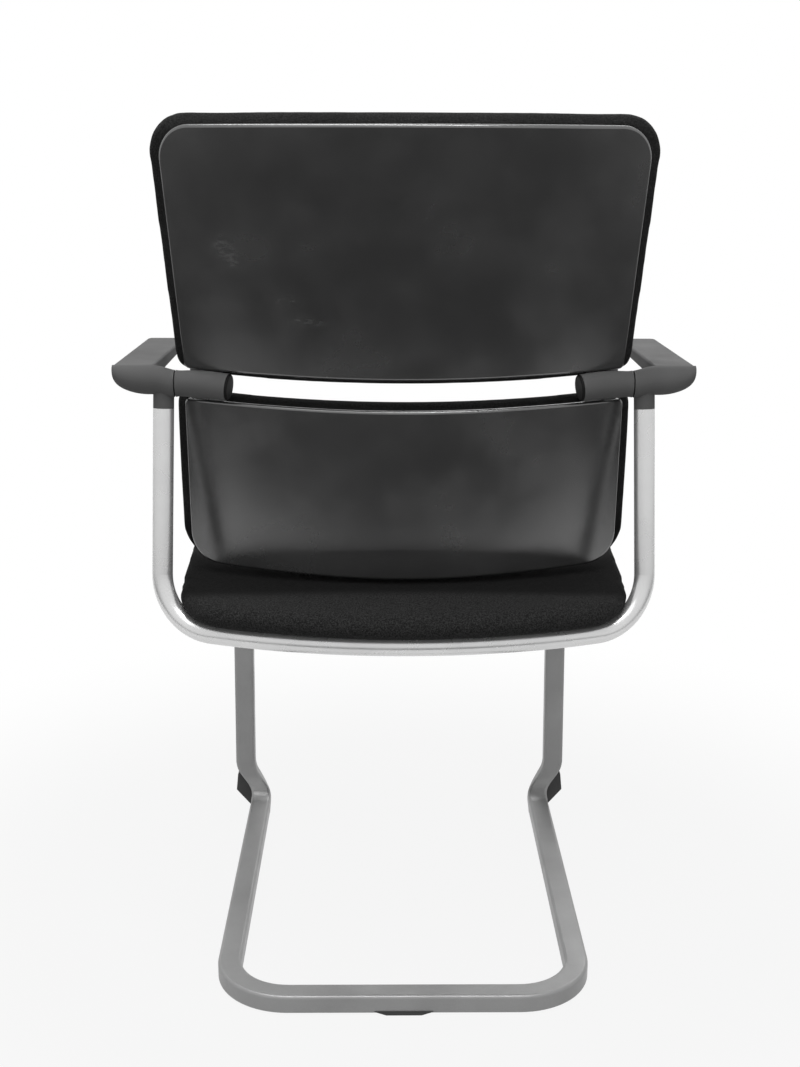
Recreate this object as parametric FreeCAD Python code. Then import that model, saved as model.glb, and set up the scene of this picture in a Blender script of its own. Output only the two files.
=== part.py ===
import FreeCAD, Part
import math
import os

# Cantilever visitor chair with a two-part back that tilts between its armrests.
# Millimetres, +Z up, the sitter faces -Y, the sitter's left is +X.
# The origin is on the floor, in the plane of symmetry, half way from front to back.

V = FreeCAD.Vector
X_AXIS = V(1, 0, 0)
Y_AXIS = V(0, 1, 0)
Z_AXIS = V(0, 0, 1)
SIDES = {"left": 1, "right": -1}

# Clearances
SLIP = 0.05            # radial play of the pivot pin and of what is pushed over or into it
CLEAR = 0.3            # between pieces that lie on each other
SEAM = 1.4             # ring gap between an armrest's knuckle and the pivot housing

# Main places, from which the others follow
PAD_OUT = 292.5        # half the chair's width, out to the armrests' outer edges
CROSS_Z = 377.5        # height of the cross tube under the seat
CROSS_MID_Y = 208.0    # its middle, the rearmost point of its bow
PIVOT_RISE = 250.5     # the back's pivot above the cross tube
PIVOT_AHEAD = 80.0     # and in front of the cross tube's middle
SEAT_DEPTH = 491.0

# Base: one flat steel tube, bent into rails, legs, runners and rear bar
FLAT_W = 25.0
FLAT_H = 20.0
FLAT_R = 3.5
SOLE = 1.0             # the tube's height above the floor
REAR_REACH = 59.0      # rear face of the rear bar behind the cross tube's middle
LEG_OUTSET = 8.7       # leg's centre outside the end of the cross tube's bow
FOOT_STEP = 21.0       # how far the foot bend brings the tube inwards
FOOT_BACK = 32.7       # the leg's foot behind the seat's front edge
LEG_LEAN = 5.0
REAR_CORNER_R = 66.0
FOOT_R = 36.0
FOOT_LEAD = 20.0       # straight stretch of the leg that already moves inwards
FOOT_JOG = 0.67        # share of the bend in which the tube has moved in to the runner
KNEE_R = 48.0
FOOT_SECTIONS = 9
RAIL_STOP = 6.3        # the rails end this far in front of the cross tube's axis
RAIL_MITRE = 20.0      # how far the outer part of a rail's end is cut back
RAIL_MITRE_W = 17.0    # and how wide that part is
CROSS_BAR_BACK = 72.0  # cross bar behind the seat's front edge

# Arm frame: one round steel tube, two uprights and a bowed cross tube under the seat
ARM_TUBE_D = 21.0
ARM_TUBE_WALL = 2.0
ARM_OUTSET = 95.2      # armrest's outer edge outside the end of the bow
CROSS_BOW = 38.5
BEND_R = 57.0
UPRIGHT_LEAN = 5.0
UPRIGHT_SPLAY = 1.8
COLLAR_DROP = 25.0     # the uprights end and the collars begin this far below the pivot
COLLAR_GAP = 0.1
SPIGOT_LEN = 32.0

# Armrests
PAD_W = 41.0
PAD_LEN = 228.0        # from the pivot to the pad's front edge
PAD_RISE = 18.5        # pad's top above the pivot
PAD_THICK_FRONT = 10.0
PAD_THICK_REAR = 14.0
PAD_LIP = 0.45         # share of the thickness that the upright outer side takes
PAD_KEEL = 0.08        # share of the thickness by which the underside's arc stays up
PAD_KEEL_OUT = 3.0
PAD_CORNER_R = 7.0
PAD_INNER_R = 1.0
PAD_EDGE_R = 2.5
HULL_LEN = 61.7        # rear end, from its outer tip in to the knuckle's face
HULL_TIP_D = 8.0       # height of the rear end at its outer tip
HULL_BELLY = 3.0
HULL_FULL = 3.0        # power of its keel line, fuller than an ellipse above 2
HULL_RISE = 3.0        # how soon the rear end's top reaches the pad's
HULL_STEPS = 7

# Pivot between armrests and back
KNUCKLE_D = 27.0
PIN_D = 10.0
PIN_CHAMFER = 0.8
PIN_IN_HOUSING = 27.0
PIN_IN_ARM = 26.0
BORE_END = 2.0         # room at the end of the pin
BUSH_D = 18.0
BUSH_LEN = 9.0
HOUSING_LEN = 52.0
HOUSING_END_D = 28.0
HOUSING_SWING_Y = 5.0
HOUSING_DROP_Z = 3.0
HOUSING_SECTIONS = 4
CAP_T = 2.4
CAP_RIM = 1.0
CAP_ROUND = 0.7        # share of the cap's thickness that its rim is rounded by
CAP_PLUG_D = 18.0
CAP_PLUG_LEN = 6.0

# Back: curved in plan about a vertical axis, upper and lower part lean differently
BACK_SAG = 56.456      # how far forward the back's curve has come at the knuckles
BACK_BEHIND = 38.0     # rear face behind the pivot, in the middle
UPPER_LEAN = 12.0
LOWER_LEAN = 6.5
SHELL_T = 5.0
BOARD_T = 4.0
BOARD_INSET = 8.0
SHELL_EDGE_R = 2.8
UPPER_H = 236.2
UPPER_GAP = 13.8       # upper shell's lower corners above the pivot
UPPER_INSET = 8.8      # and inside the knuckles' faces
UPPER_FLARE = 14.5     # how much wider the shell is at its top
UPPER_CORNER_R = 31.0
LOWER_GAP = 17.0       # lower shell's upper corners below the pivot
LOWER_INSET = 7.3      # lower shell's sides inside the knuckles' faces
LOWER_CLEAR = 56.5     # lower shell above the cross tube's axis
LOWER_CORNER_R = 33.0
SLOT_SMILE = 7.0       # how much lower the slot's edges are in the middle
LOWER_SMILE = 9.0
SMILE_ROUND = 0.46     # share of a bowed edge's half length that its arc takes
LOWER_ROUND = 0.3
SLOT_CORNER_R = 6.0
BRACKET_T = 3.5
BRACKET_INSET = 30.8   # strap's middle inside the knuckle's face
BRACKET_W = 34.0
BRACKET_UP = 48.0
BRACKET_DOWN = 46.0
BRACKET_CORNER_R = 4.0

# Back pads
PAD_OVERLAP = 7.0      # how far a back pad stands out past its shell
PAD_TOP_OVERLAP = 9.0
PAD_SLOT_OVERLAP = 2.8
PAD_LOW_INSET = 2.1
PAD_LOWER_TOP_OVERLAP = 4.9
PAD_MID_T = 34.0
PAD_SIDE_T = 22.0
PAD_ROUND = 33.0       # corner radius of the back pads
PAD_SLOT_ROUND = 9.9   # and beside the slot
PAD_THIN = 0.55        # share of its thickness that a pad loses towards its side edge
PAD_TUCK = 5.5         # how far its side edge draws forward, off the board
PAD_ROLL = 0.42        # rolled edge as a share of the thickness
PAD_ROLL_MOST = 0.3    # and at most this share of the height
PAD_CROWN = 0.12

# Seat: pan and cushion, tilted up to the front together with the rails
SEAT_TILT = 2.6
SEAT_BEHIND = 21.0     # cushion's rear edge behind the cross tube's middle
SEAT_BOW_MORE = 11.5   # how much more the seat's rear edge bows than the tube
SEAT_FRONT_BOW = 8.0
SEAT_OUTSET = 28.7     # seat's rear corners outside the end of the bow
SEAT_FLARE = 14.0      # how much wider the seat is at its front
SEAT_T_REAR = 22.0
SEAT_T_FRONT = 37.0
SEAT_CROWN = 4.0
SEAT_SIDE = 0.18       # share of the half width in which the sides draw in
SEAT_SINK = 0.62       # share of its thickness that the cushion loses towards its side
SEAT_LIFT = 0.8        # share of the rear thickness by which the side edge rises
SEAT_REAR_DRAW = 0.85  # share of the corner radius that the rear corners draw in
SEAT_ROLL_REAR = 0.55  # rolled edges as shares of the thickness
SEAT_ROLL_FRONT = 0.9
SEAT_PAN_T = 5.0
SEAT_PAN_INSET = 24.0
SEAT_CORNER_R = 40.0

# Floor glides
REAR_GLIDE_LEN = 60.0
REAR_GLIDE_FLAT = 36.0
REAR_GLIDE_LIP = 1.2
REAR_GLIDE_H = 4.0
GLIDE_AHEAD = 32.7     # front face ahead of where the leg's line meets the runner's
GLIDE_LEN = 29.0
GLIDE_IN = 5.0         # inner end of its sole, inside the runner's middle
GLIDE_TIP = 5.0        # outer end of its sole, inside the leg's middle
GLIDE_TOP_IN = 1.0     # inner end of its top, inside the leg's middle
GLIDE_OUT = 13.5       # outer face, outside the leg's middle
GLIDE_DRAFT = 2.5      # how much it leans inwards to its top
GLIDE_RISE = 21.5      # height of its outer corner, the underside slopes up to it
GLIDE_H = 46.0
GLIDE_EDGE_R = 3.0

# Fasteners
SEAT_SCREW_D = 6.0
SEAT_SCREW_HEAD_D = 11.0
SEAT_SCREW_HEAD_H = 3.2
SEAT_SCREW_BACK = 112.0   # front screws behind the seat's front edge
SEAT_SCREW_AHEAD = 119.0  # rear screws ahead of the seat's rear edge
SCREW_D = 4.0
SCREW_HEAD_D = 7.5
SCREW_HEAD_H = 2.4
SCREW_SUNK = 0.8       # arm screw's seat below the tube's surface
HOUSING_SCREW_REACH = 6.0
HOUSING_SCREW_SPREAD = 5.0
ARM_SCREW_DROP = 16.0  # below the collar

# Worked out from the sizes above
PIVOT_Y = CROSS_MID_Y - PIVOT_AHEAD
PIVOT_Z = CROSS_Z + PIVOT_RISE
PAD_IN = PAD_OUT - PAD_W
PAD_TOP_Z = PIVOT_Z + PAD_RISE
PAD_FRONT_Y = PIVOT_Y - PAD_LEN
KNUCKLE_X = PAD_OUT - HULL_LEN
HOUSING_X = KNUCKLE_X - SEAM
CROSS_HALF = PAD_OUT - ARM_OUTSET
COLLAR_Z = PIVOT_Z - COLLAR_DROP
LEG_X = CROSS_HALF + LEG_OUTSET
RUNNER_X = LEG_X - FOOT_STEP
REAR_Y = CROSS_MID_Y + REAR_REACH
SEAT_REAR_Y = CROSS_MID_Y + SEAT_BEHIND
SEAT_FRONT_Y = SEAT_REAR_Y - SEAT_DEPTH
SEAT_BOW = CROSS_BOW + SEAT_BOW_MORE
SEAT_HALF_REAR = CROSS_HALF + SEAT_OUTSET
SEAT_HALF_FRONT = SEAT_HALF_REAR + SEAT_FLARE
SEAT_SCREW_Y = (SEAT_FRONT_Y + SEAT_SCREW_BACK, SEAT_REAR_Y - SEAT_SCREW_AHEAD)
CROSS_BAR_Y = SEAT_FRONT_Y + CROSS_BAR_BACK
FOOT_Y = SEAT_FRONT_Y + FOOT_BACK     # where the leg's line meets the runner's
FLOOR_TUBE_Z = SOLE + FLAT_H / 2
SEAT_HINGE = V(0, CROSS_MID_Y, CROSS_Z + ARM_TUBE_D / 2 + CLEAR)
RAIL_DROP = SEAT_PAN_T + 2 * CLEAR + FLAT_H / 2
UPPER_BOTTOM_Z = PIVOT_Z + UPPER_GAP
UPPER_TOP_Z = UPPER_BOTTOM_Z + UPPER_H
UPPER_HALF_BOTTOM = KNUCKLE_X - UPPER_INSET
UPPER_HALF_TOP = UPPER_HALF_BOTTOM + UPPER_FLARE
LOWER_TOP_Z = PIVOT_Z - LOWER_GAP
LOWER_BOTTOM_Z = CROSS_Z + LOWER_CLEAR
LOWER_HALF = KNUCKLE_X - LOWER_INSET
BRACKET_X = KNUCKLE_X - BRACKET_INSET
BACK_R = (KNUCKLE_X ** 2 + BACK_SAG ** 2) / (2 * BACK_SAG)
BACK_AXIS_Y = PIVOT_Y + BACK_BEHIND - BACK_R
UPPER_SLOPE = math.tan(math.radians(UPPER_LEAN))
LOWER_SLOPE = math.tan(math.radians(LOWER_LEAN))
BOARD_FACE = SHELL_T + CLEAR
PAD_FACE = BOARD_FACE + BOARD_T + 2 * CLEAR
REACH = 2 * (PAD_OUT + CROSS_Z)       # longer than any piece, for cutting solids


def unit(vector):
    return V(vector).normalize()


def corner_arc(before, corner, after, radius):
    """Start, middle and end of the arc that rounds a corner."""
    back = unit(before - corner)
    ahead = unit(after - corner)
    half = back.getAngle(ahead) / 2
    reach = radius / math.tan(half)
    middle = corner + unit(back + ahead) * (radius / math.sin(half) - radius)
    return corner + back * reach, middle, corner + ahead * reach


def rounded_path(points, radii):
    """Open wire through the points with a tangent arc at each inner one."""
    edges = []
    start = points[0]
    for before, corner, after, radius in zip(points, points[1:], points[2:], radii):
        first, middle, last = corner_arc(before, corner, after, radius)
        edges.append(Part.LineSegment(start, first).toShape())
        edges.append(Part.Arc(first, middle, last).toShape())
        start = last
    edges.append(Part.LineSegment(start, points[-1]).toShape())
    return Part.Wire(edges)


def rounded_polygon(points, radii):
    """Closed wire with every corner rounded."""
    arcs = []
    for i, corner in enumerate(points):
        after = points[(i + 1) % len(points)]
        arcs.append(corner_arc(points[i - 1], corner, after, radii[i]))
    edges = []
    for i, (first, middle, last) in enumerate(arcs):
        edges.append(Part.Arc(first, middle, last).toShape())
        edges.append(Part.LineSegment(last, arcs[(i + 1) % len(arcs)][0]).toShape())
    return Part.Wire(edges)


def prism(wire, direction):
    return Part.Face(wire).extrude(direction)


def swept(profile, path):
    return path.makePipeShell([profile], True, False)


def mirrored(shape):
    return shape.mirror(V(0, 0, 0), X_AXIS)


def whole(shape):
    """The one solid that a cut or a join leaves."""
    return max(shape.Solids, key=lambda solid: solid.Volume)


def on_side(shape, side):
    return shape if side > 0 else mirrored(shape)


def export(name, shape):
    shape.exportStep("parts/" + name + ".step")


def flat_profile(centre, across, through, grow=0.0):
    """Rounded rectangle of the flat tube, FLAT_W wide along across."""
    a = FLAT_W / 2 + grow
    b = FLAT_H / 2 + grow
    corners = [(a, -b), (a, b), (-a, b), (-a, -b)]
    points = [centre + across * u + through * v for u, v in corners]
    return rounded_polygon(points, [FLAT_R + grow] * len(points))


def smooth_step(t):
    t = min(max(t, 0.0), 1.0)
    return t * t * (3 - 2 * t)


def in_seat(shape):
    """Tilt a piece that is drawn level into the seat's plane."""
    shape.rotate(SEAT_HINGE, X_AXIS, -SEAT_TILT)
    return shape


def seat_point(x, y, height):
    """Point in the tilted seat's plane, given by its level place."""
    turn = math.radians(SEAT_TILT)
    forward = SEAT_HINGE.y - y
    return V(x, SEAT_HINGE.y - forward * math.cos(turn) + height * math.sin(turn),
             SEAT_HINGE.z + forward * math.sin(turn) + height * math.cos(turn))


# Base frame
LEG_DIR = V(0, math.sin(math.radians(LEG_LEAN)), -math.cos(math.radians(LEG_LEAN)))
FOOT_TURN = math.radians(90 - LEG_LEAN)
FOOT_TANGENT = FOOT_R * math.tan(FOOT_TURN / 2)
FOOT_ARC = FOOT_R * FOOT_TURN


def leg_line(distance):
    """Point on the leg's centre line, measured up from where it meets the runner's."""
    return V(LEG_X, FOOT_Y, FLOOR_TUBE_Z) - LEG_DIR * distance


def foot_section(travel, grow):
    """Tube section in the foot bend, where the tube also moves inwards to the runner."""
    span = FOOT_LEAD + FOOT_ARC
    if travel < FOOT_LEAD:
        centre = leg_line(FOOT_TANGENT + FOOT_LEAD - travel)
        ahead = LEG_DIR
    else:
        turn = (travel - FOOT_LEAD) / FOOT_R
        inward = V(0, -LEG_DIR.z, LEG_DIR.y)
        start = leg_line(FOOT_TANGENT)
        centre = (start + LEG_DIR * (FOOT_R * math.sin(turn))
                  + inward * (FOOT_R * (1 - math.cos(turn))))
        ahead = LEG_DIR * math.cos(turn) + inward * math.sin(turn)
    centre.x = LEG_X + (RUNNER_X - LEG_X) * smooth_step(travel / (span * FOOT_JOG))
    return flat_profile(centre, X_AXIS, V(0, -ahead.z, ahead.y), grow)


def foot_bend(grow=0.0):
    span = FOOT_LEAD + FOOT_ARC
    sections = [foot_section(span * i / FOOT_SECTIONS, grow) for i in range(FOOT_SECTIONS + 1)]
    return Part.makeLoft(sections, True, False)


def knee_corner():
    """Where the rail's centre line meets the leg's."""
    tilt = math.radians(SEAT_TILT)
    rail_dir = V(0, -math.cos(tilt), math.sin(tilt))
    rail_start = seat_point(LEG_X, SEAT_HINGE.y, -RAIL_DROP)
    foot = leg_line(0)
    cross = rail_dir.y * LEG_DIR.z - rail_dir.z * LEG_DIR.y
    gap = foot - rail_start
    return rail_start + rail_dir * ((gap.y * LEG_DIR.z - gap.z * LEG_DIR.y) / cross)


def rail_and_leg(arm_frame_cutter):
    end = seat_point(LEG_X, CROSS_MID_Y - CROSS_BOW - RAIL_STOP, -RAIL_DROP)
    foot = leg_line(FOOT_TANGENT + FOOT_LEAD)
    path = rounded_path([foot, knee_corner(), end], [KNEE_R])
    through = V(0, -LEG_DIR.z, LEG_DIR.y)
    outer = LEG_X + FLAT_W / 2
    low = end.z - FLAT_H
    corner = [V(outer - RAIL_MITRE_W, end.y, low), V(outer, end.y - RAIL_MITRE, low),
              V(outer + FLAT_H, end.y - RAIL_MITRE, low), V(outer + FLAT_H, end.y + FLAT_H, low),
              V(outer - RAIL_MITRE_W, end.y + FLAT_H, low)]
    mitre = prism(Part.makePolygon(corner + corner[:1]), V(0, 0, 2 * FLAT_H))
    return swept(flat_profile(foot, X_AXIS, through), path).cut([arm_frame_cutter, mitre])


def floor_loop():
    start_y = FOOT_Y + FOOT_TANGENT
    bar_y = REAR_Y - FLAT_W / 2
    points = [V(RUNNER_X, start_y, FLOOR_TUBE_Z), V(RUNNER_X, bar_y, FLOOR_TUBE_Z),
              V(-RUNNER_X, bar_y, FLOOR_TUBE_Z), V(-RUNNER_X, start_y, FLOOR_TUBE_Z)]
    path = rounded_path(points, [REAR_CORNER_R] * 2)
    return swept(flat_profile(points[0], X_AXIS, Z_AXIS), path)


def seat_screw_spots():
    return [(side * LEG_X, y) for side in SIDES.values() for y in SEAT_SCREW_Y]


def seat_screw_holes(diameter):
    holes = []
    for x, y in seat_screw_spots():
        start = SEAT_HINGE + V(x, y - SEAT_HINGE.y, -RAIL_DROP - FLAT_H)
        depth = FLAT_H * 1.5 + RAIL_DROP - CLEAR * 2
        holes.append(Part.makeCylinder(diameter / 2, depth, start, Z_AXIS))
    return in_seat(Part.makeCompound(holes))


def base_frame(arm_frame_cutter):
    side = rail_and_leg(arm_frame_cutter).fuse(foot_bend())
    frame = floor_loop().fuse([side, mirrored(side)]).removeSplitter()
    return frame.cut(seat_screw_holes(SEAT_SCREW_D + 2 * CLEAR))


# Arm frame
def upright_dir():
    return unit(V(-math.tan(math.radians(UPRIGHT_SPLAY)), -math.tan(math.radians(UPRIGHT_LEAN)), 1))


def cross_radius():
    return (CROSS_HALF ** 2 + CROSS_BOW ** 2) / (2 * CROSS_BOW)


def upright_foot():
    """Where an upright's line would meet the cross tube's end tangent."""
    angle = math.asin(CROSS_HALF / cross_radius())
    outwards = V(math.cos(angle), -math.sin(angle), 0)
    reach = BEND_R / math.tan((math.pi - outwards.getAngle(upright_dir())) / 2)
    return V(CROSS_HALF, CROSS_MID_Y - CROSS_BOW, CROSS_Z) + outwards * reach


def upright_at(z):
    foot = upright_foot()
    way = upright_dir()
    return foot + way * ((z - foot.z) / way.z)


def flip(point):
    return V(-point.x, point.y, point.z)


def arm_frame_tube(diameter, top_z):
    end = V(CROSS_HALF, CROSS_MID_Y - CROSS_BOW, CROSS_Z)
    foot = upright_foot()
    top = upright_at(top_z)
    first, middle, last = corner_arc(top, foot, end, BEND_R)
    cross_mid = V(0, CROSS_MID_Y, CROSS_Z)
    path = Part.Wire([
        Part.LineSegment(top, first).toShape(),
        Part.Arc(first, middle, last).toShape(),
        Part.Arc(last, cross_mid, flip(last)).toShape(),
        Part.Arc(flip(last), flip(middle), flip(first)).toShape(),
        Part.LineSegment(flip(first), flip(top)).toShape()])
    profile = Part.Wire(Part.makeCircle(diameter / 2, top, upright_dir()))
    return swept(profile, path)


def spigot_bore(radius):
    top = upright_at(COLLAR_Z)
    return Part.makeCylinder(radius, SPIGOT_LEN + CLEAR, top, upright_dir() * -1)


def arm_screw(extra):
    """Screw from the front through an upright into the armrest's spigot."""
    way = upright_dir()
    centre = upright_at(COLLAR_Z) - way * ARM_SCREW_DROP
    out = unit(way.cross(X_AXIS)) * -1
    out = out if out.y < 0 else out * -1
    seat = centre + out * (ARM_TUBE_D / 2 - SCREW_SUNK)
    shank = Part.makeCylinder(SCREW_D / 2 + extra, ARM_TUBE_D * 0.7, seat, out * -1)
    head = Part.makeCylinder(SCREW_HEAD_D / 2 + extra, SCREW_HEAD_H + extra, seat, out)
    return shank.fuse(head).removeSplitter()


def arm_frame():
    tube = arm_frame_tube(ARM_TUBE_D, COLLAR_Z)
    bore = spigot_bore(ARM_TUBE_D / 2 - ARM_TUBE_WALL)
    screw = arm_screw(SLIP)
    return tube.cut([bore, mirrored(bore), screw, mirrored(screw)])


# Armrests
def hull():
    """Boat-shaped rear end: round at the knuckle, its keel rising to the outer tip."""
    sections = []
    length = PAD_OUT - KNUCKLE_X
    for i in range(HULL_STEPS + 1):
        share = math.sin(math.pi / 2 * i / HULL_STEPS)
        keel = max(0.0, 1 - share ** HULL_FULL) ** (1 / HULL_FULL)
        diameter = (HULL_TIP_D + (KNUCKLE_D - HULL_TIP_D) * keel
                    + HULL_BELLY * math.sin(math.pi * share))
        top = PAD_TOP_Z - (PAD_TOP_Z - PIVOT_Z - KNUCKLE_D / 2) * (1 - smooth_step(share * HULL_RISE))
        centre = V(KNUCKLE_X + length * share, PIVOT_Y, top - diameter / 2)
        sections.append(Part.Wire(Part.makeCircle(diameter / 2, centre, X_AXIS)))
    return Part.makeLoft(sections, True, False)


def arm_pad_section(y, thickness):
    """Flat top, short upright sides and a curved underside."""
    bottom = PAD_TOP_Z - thickness
    lip = PAD_TOP_Z - thickness * PAD_LIP
    top_in = V(PAD_IN, y, PAD_TOP_Z)
    top_out = V(PAD_OUT, y, PAD_TOP_Z)
    low_out = V(PAD_OUT, y, lip)
    low_in = V(PAD_IN, y, bottom)
    keel = V((PAD_IN + PAD_OUT) / 2 + PAD_KEEL_OUT, y, bottom + thickness * PAD_KEEL)
    return Part.Wire([
        Part.LineSegment(top_in, top_out).toShape(),
        Part.LineSegment(top_out, low_out).toShape(),
        Part.Arc(low_out, keel, low_in).toShape(),
        Part.LineSegment(low_in, top_in).toShape()])


def arm_pad():
    rear_y = PIVOT_Y
    body = Part.makeLoft([arm_pad_section(PAD_FRONT_Y, PAD_THICK_FRONT),
                          arm_pad_section(rear_y, PAD_THICK_REAR)], True, True)
    corners = [V(PAD_IN, PAD_FRONT_Y, 0), V(PAD_OUT, PAD_FRONT_Y, 0),
               V(PAD_OUT, rear_y, 0), V(PAD_IN, rear_y, 0)]
    plan = prism(rounded_polygon(corners, [PAD_CORNER_R] * 3 + [PAD_INNER_R]), V(0, 0, REACH))
    body = body.common(plan)
    rim = [e for e in body.Edges if e.BoundBox.ZMin > PAD_TOP_Z - SLIP]
    return body.makeFillet(PAD_EDGE_R, rim)


def armrest():
    way = upright_dir()
    collar_foot = upright_at(COLLAR_Z) + way * COLLAR_GAP
    collar_len = (PIVOT_Z - COLLAR_Z) / way.z
    collar = Part.makeCylinder(ARM_TUBE_D / 2, collar_len, collar_foot, way)
    spigot = Part.makeCylinder(ARM_TUBE_D / 2 - ARM_TUBE_WALL - SLIP, SPIGOT_LEN + ARM_TUBE_WALL / 2,
                               collar_foot + way * (ARM_TUBE_WALL / 2), way * -1)
    bore = Part.makeCylinder(BUSH_D / 2, PIN_IN_ARM + BORE_END, V(KNUCKLE_X, PIVOT_Y, PIVOT_Z), X_AXIS)
    corner = V(KNUCKLE_X - KNUCKLE_D, -REACH / 2, COLLAR_Z + ARM_TUBE_D / 3)
    inside = Part.makeBox(KNUCKLE_D, REACH, REACH, corner)
    body = hull().fuse([arm_pad(), collar, spigot]).removeSplitter()
    return whole(body.cut([bore, inside, arm_screw(SLIP)]))


# Pivot
def pivot_bush():
    start = V(KNUCKLE_X - SEAM / 2, PIVOT_Y, PIVOT_Z)
    outer = Part.makeCylinder(BUSH_D / 2 - SLIP, BUSH_LEN, start, X_AXIS)
    return outer.cut(Part.makeCylinder(PIN_D / 2 + SLIP, BUSH_LEN, start, X_AXIS))


def torsion_sleeve():
    start = V(KNUCKLE_X - SEAM / 2 + BUSH_LEN + CLEAR, PIVOT_Y, PIVOT_Z)
    length = PIN_IN_ARM - BUSH_LEN + SEAM / 2 - CLEAR
    outer = Part.makeCylinder(BUSH_D / 2 - SLIP, length, start, X_AXIS)
    return outer.cut(Part.makeCylinder(PIN_D / 2 + SLIP, length, start, X_AXIS))


def pivot_pin():
    start = V(HOUSING_X - PIN_IN_HOUSING, PIVOT_Y, PIVOT_Z)
    length = PIN_IN_HOUSING + SEAM + PIN_IN_ARM
    pin = Part.makeCylinder(PIN_D / 2, length, start, X_AXIS)
    rims = [e for e in pin.Edges if isinstance(e.Curve, Part.Circle)]
    return pin.makeChamfer(PIN_CHAMFER, rims)


def housing_axis(share):
    """Point and direction of the housing's bent axis, from the seam to its inner end."""
    point = V(HOUSING_X - HOUSING_LEN * share, PIVOT_Y + HOUSING_SWING_Y * share ** 2,
              PIVOT_Z - HOUSING_DROP_Z * share ** 2)
    way = unit(V(-HOUSING_LEN, 2 * HOUSING_SWING_Y * share, -2 * HOUSING_DROP_Z * share))
    return point, way


def housing_body():
    sections = []
    for i in range(HOUSING_SECTIONS):
        share = i / (HOUSING_SECTIONS - 1)
        point, way = housing_axis(share)
        radius = KNUCKLE_D / 2 + (HOUSING_END_D - KNUCKLE_D) / 2 * share
        sections.append(Part.Wire(Part.makeCircle(radius, point, way * -1)))
    return Part.makeLoft(sections, True, False)


def pivot_cap():
    end, way = housing_axis(1.0)
    rim_r = HOUSING_END_D / 2 - CAP_RIM
    disc = Part.makeCylinder(rim_r, CAP_T, end + way * (CLEAR / 2), way)
    far = [e for e in disc.Edges
           if isinstance(e.Curve, Part.Circle) and (e.Curve.Center - end).dot(way) > CAP_T / 2]
    disc = disc.makeFillet(CAP_T * CAP_ROUND, far)
    plug_foot = end + way * (CAP_T * (1 - CAP_ROUND))
    plug = Part.makeCylinder(CAP_PLUG_D / 2 - SLIP, CAP_PLUG_LEN, plug_foot, way * -1)
    return disc.fuse(plug).removeSplitter()


def housing_screws():
    """Screws from the front, through the bracket, into the housing."""
    screws = []
    x = HOUSING_X - PIN_IN_HOUSING - SCREW_HEAD_D
    for side in (1, -1):
        z = PIVOT_Z + side * HOUSING_SCREW_SPREAD
        face_y = back_y(x, z) - BOARD_FACE - BRACKET_T
        screws.append(screw(V(x, face_y, z), Y_AXIS, BRACKET_T + HOUSING_SCREW_REACH))
    return screws


def pivot_housing():
    end, way = housing_axis(1.0)
    pin_foot = V(HOUSING_X - PIN_IN_HOUSING, PIVOT_Y, PIVOT_Z)
    pin_bore = Part.makeCylinder(PIN_D / 2, PIN_IN_HOUSING, pin_foot, X_AXIS)
    cap_bore = Part.makeCylinder(CAP_PLUG_D / 2, CAP_PLUG_LEN, end, way * -1)
    return housing_body().cut([pin_bore, cap_bore, bracket_clearance()] + housing_screws())


# Back
def back_y(x, z):
    """Depth of the back's rear face."""
    slope = UPPER_SLOPE if z > PIVOT_Z else LOWER_SLOPE
    return BACK_AXIS_Y + math.sqrt(BACK_R ** 2 - x ** 2) + slope * (z - PIVOT_Z)


def layer(near, far, upper, outline):
    """Slab between two depths behind the back's rear face, inside an outline seen from behind."""
    half = UPPER_HALF_TOP + 4 * PAD_OVERLAP
    outer = BACK_R - near
    inner = BACK_R - far
    corners = [V(x, BACK_AXIS_Y + math.sqrt(r ** 2 - x ** 2), PIVOT_Z)
               for r in (outer, inner) for x in (-half, half)]
    wire = Part.Wire([
        Part.Arc(corners[0], V(0, BACK_AXIS_Y + outer, PIVOT_Z), corners[1]).toShape(),
        Part.LineSegment(corners[1], corners[3]).toShape(),
        Part.Arc(corners[3], V(0, BACK_AXIS_Y + inner, PIVOT_Z), corners[2]).toShape(),
        Part.LineSegment(corners[2], corners[0]).toShape()])
    rise = UPPER_TOP_Z - PIVOT_Z + 2 * PAD_TOP_OVERLAP
    way = V(0, UPPER_SLOPE, 1) * rise if upper else V(0, -LOWER_SLOPE, -1) * rise
    far_wire = wire.copy()
    far_wire.translate(way)
    slab = Part.makeLoft([wire, far_wire], True, True)
    return slab.common(prism(outline, V(0, 2 * REACH, 0)))


def outline_at(corners, radii):
    """Closed outline seen from behind, set in front of every piece."""
    return rounded_polygon([V(x, -REACH, z) for x, z in corners], radii)


def upper_outline(inset):
    """Upper panel: wider at the top, its lower edge bowed down in the middle."""
    top = UPPER_TOP_Z - inset
    low = UPPER_BOTTOM_Z + inset
    lean = (UPPER_HALF_TOP - UPPER_HALF_BOTTOM) / (UPPER_TOP_Z - UPPER_BOTTOM_Z)
    wide = UPPER_HALF_TOP - inset
    narrow = UPPER_HALF_TOP - lean * (top - low) - inset
    corners = [(-wide, top), (wide, top), (narrow, low), (0, low - SLOT_SMILE), (-narrow, low)]
    smile_r = SMILE_ROUND * math.hypot(narrow, SLOT_SMILE) * narrow / SLOT_SMILE
    corner_r = max(UPPER_CORNER_R - inset, SLOT_CORNER_R)
    return outline_at(corners, [corner_r, corner_r, SLOT_CORNER_R, smile_r, SLOT_CORNER_R])


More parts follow.
